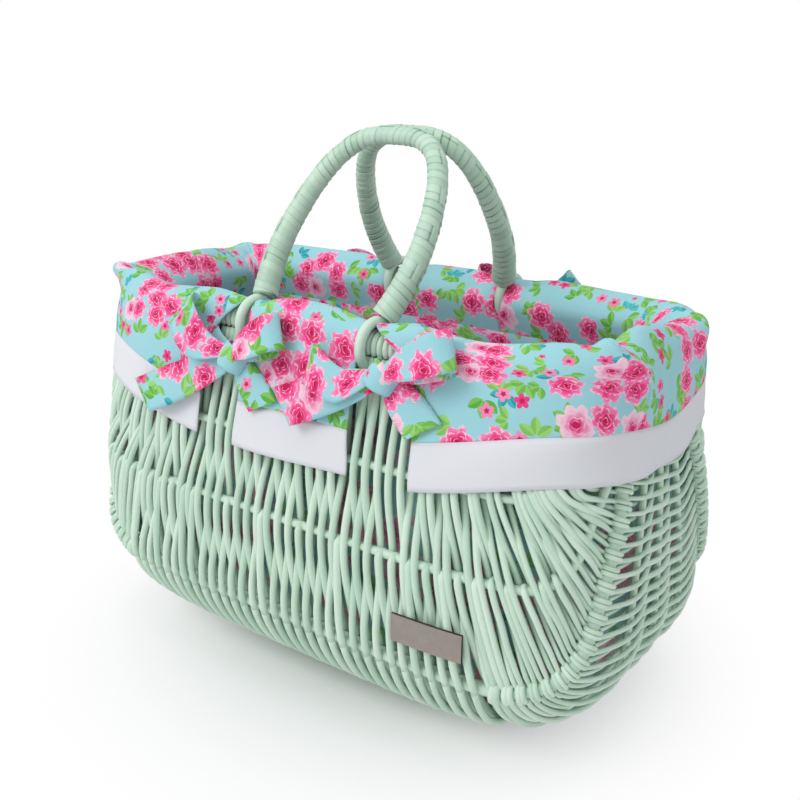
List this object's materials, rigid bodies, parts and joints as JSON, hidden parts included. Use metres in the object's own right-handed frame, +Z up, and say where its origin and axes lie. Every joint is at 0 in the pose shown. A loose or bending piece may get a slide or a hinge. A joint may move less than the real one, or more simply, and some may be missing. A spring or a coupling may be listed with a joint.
{
  "type": "wicker handbag",
  "caption": "Wicker handbag: mint-painted willow basket with cane-wrapped swinging handles, floral cloth lining turned over the rim, white hem, tied bows and a bare leather tag.",
  "frame": {"origin": "on the ground under the middle of the basket", "axes": "+X along the length of the basket to its right, -Y to the front with the tag, +Z up"},
  "size_m": [0.45, 0.2586, 0.3898],
  "materials": {
    "willow": "painted willow, satin mint green",
    "lining_cloth": "printed twill, aqua ground with pink blooms",
    "hem_cotton": "plain white cotton, matt",
    "leather": "grey-brown leather with dark cut edges"
  },
  "bodies": {
    "basket": {"rim_hoop": "willow", "rim_binding": "willow", "front_frame_rod": "willow", "front_lower_rib": "willow", "front_upper_rib": "willow", "rear_frame_rod": "willow", "rear_lower_rib": "willow", "rear_upper_rib": "willow", "belt_rib_front": "willow", "belt_rib_middle": "willow", "belt_rib_rear": "willow", "front_woven_panel": "willow", "rear_woven_panel": "willow", "right_woven_end": "willow", "left_woven_end": "willow", "woven_base": "willow", "lining_front": "lining_cloth", "lining_rear": "lining_cloth", "lining_right": "lining_cloth", "lining_left": "lining_cloth", "lining_floor": "lining_cloth", "front_skirt": "lining_cloth", "rear_skirt": "lining_cloth", "right_skirt": "lining_cloth", "left_skirt": "lining_cloth", "front_hem": "hem_cotton", "rear_hem": "hem_cotton", "right_hem": "hem_cotton", "left_hem": "hem_cotton", "front_left_bow_under_tie": "lining_cloth", "front_left_bow_knotted_tie": "lining_cloth", "front_right_bow_under_tie": "lining_cloth", "front_right_bow_knotted_tie": "lining_cloth", "rear_left_bow_under_tie": "lining_cloth", "rear_left_bow_knotted_tie": "lining_cloth", "rear_right_bow_under_tie": "lining_cloth", "rear_right_bow_knotted_tie": "lining_cloth", "leather_tag": "leather"},
    "front_handle": {"front_handle_core": "willow", "front_handle_wrap": "willow", "front_handle_left_eye": "willow", "front_handle_right_eye": "willow"},
    "rear_handle": {"rear_handle_core": "willow", "rear_handle_wrap": "willow", "rear_handle_left_eye": "willow", "rear_handle_right_eye": "willow"}
  },
  "joints": [
    {"name": "front_handle_swing", "type": "hinge", "parent": "basket", "child": "front_handle", "pos_m": [0, -0.08368, 0.26], "axis": [1, 0, 0], "range_deg": [0, 116]},
    {"name": "rear_handle_swing", "type": "hinge", "parent": "basket", "child": "rear_handle", "pos_m": [0, 0.08368, 0.26], "axis": [-1, 0, 0], "range_deg": [0, 116]}
  ]
}
